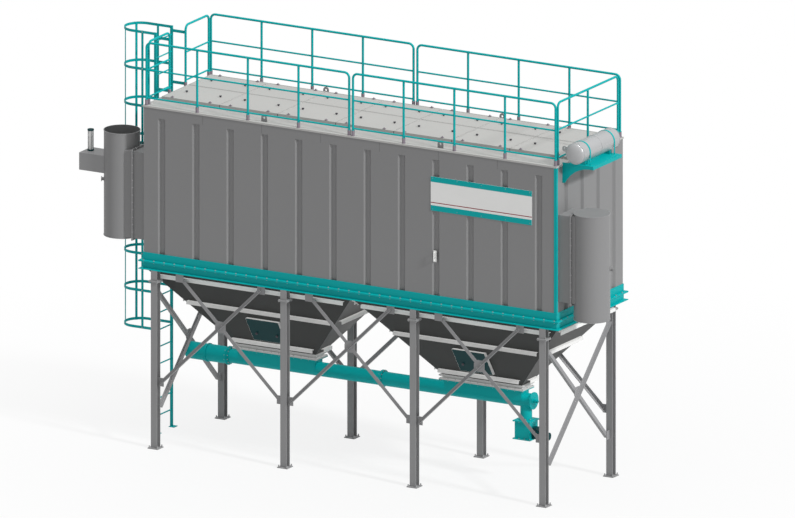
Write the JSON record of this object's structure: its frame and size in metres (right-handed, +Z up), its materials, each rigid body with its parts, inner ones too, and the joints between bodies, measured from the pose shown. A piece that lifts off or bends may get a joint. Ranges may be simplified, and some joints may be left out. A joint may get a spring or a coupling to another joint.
{
  "type": "pulse dust collector",
  "caption": "Baghouse dust collector on braced legs: folded-sheet housing, tapered hoppers over a screw conveyor, end ducts, caged ladder and railed roof.",
  "frame": {"origin": "centre of the column grid at floor level, under the housing's middle", "axes": "+X along the housing from the ladder end to the tank end, +Y from the sign side to the back, +Z up"},
  "size_m": [10.2821, 2.48, 7.117],
  "materials": {
    "column_grey": "satin mid-grey paint",
    "brace_grey": "satin pale grey paint",
    "wall_grey": "satin grey paint",
    "roof_pale": "matt pale grey paint",
    "hopper_dark": "satin dark grey paint",
    "trim_pale": "satin pale grey paint",
    "door_teal": "satin dark teal paint",
    "teal": "satin teal paint",
    "neck_grey": "satin grey paint",
    "tank_steel": "fine brushed, pale"
  },
  "bodies": {
    "root": {"base_plates": "column_grey", "front_columns": "column_grey", "back_columns": "column_grey", "column_heads": "column_grey", "front_braces": "brace_grey", "back_braces": "brace_grey", "left_braces": "brace_grey", "right_braces": "brace_grey", "lower_frame": "teal", "upper_frame": "teal", "front_wall": "wall_grey", "back_wall": "wall_grey", "left_wall": "wall_grey", "right_wall": "wall_grey", "corner_strip": "teal", "roof_deck": "roof_pale", "front_hatches": "roof_pale", "back_hatches": "roof_pale", "lifting_lugs": "column_grey", "left_hopper": "hopper_dark", "right_hopper": "hopper_dark", "left_hopper_ribs": "trim_pale", "right_hopper_ribs": "trim_pale", "inspection_doors": "door_teal", "outlet_necks": "neck_grey", "conveyor_casing": "teal", "feed_troughs": "teal", "conveyor_drive": "teal", "discharge_pipe": "teal", "rotary_valve": "teal", "valve_motor": "door_teal", "ladder": "teal", "ladder_brackets": "teal", "cage_hoops": "teal", "cage_straps": "teal", "front_rails": "teal", "back_rails": "teal", "right_rail": "teal", "left_rails": "teal", "air_tank": "tank_steel", "tank_straps": "teal", "tank_bracket": "teal", "inlet_pipe": "wall_grey", "inlet_duct": "wall_grey", "outlet_pipe": "wall_grey", "outlet_duct": "wall_grey", "damper_box": "column_grey", "damper_cylinder": "trim_pale"}
  },
  "joints": []
}
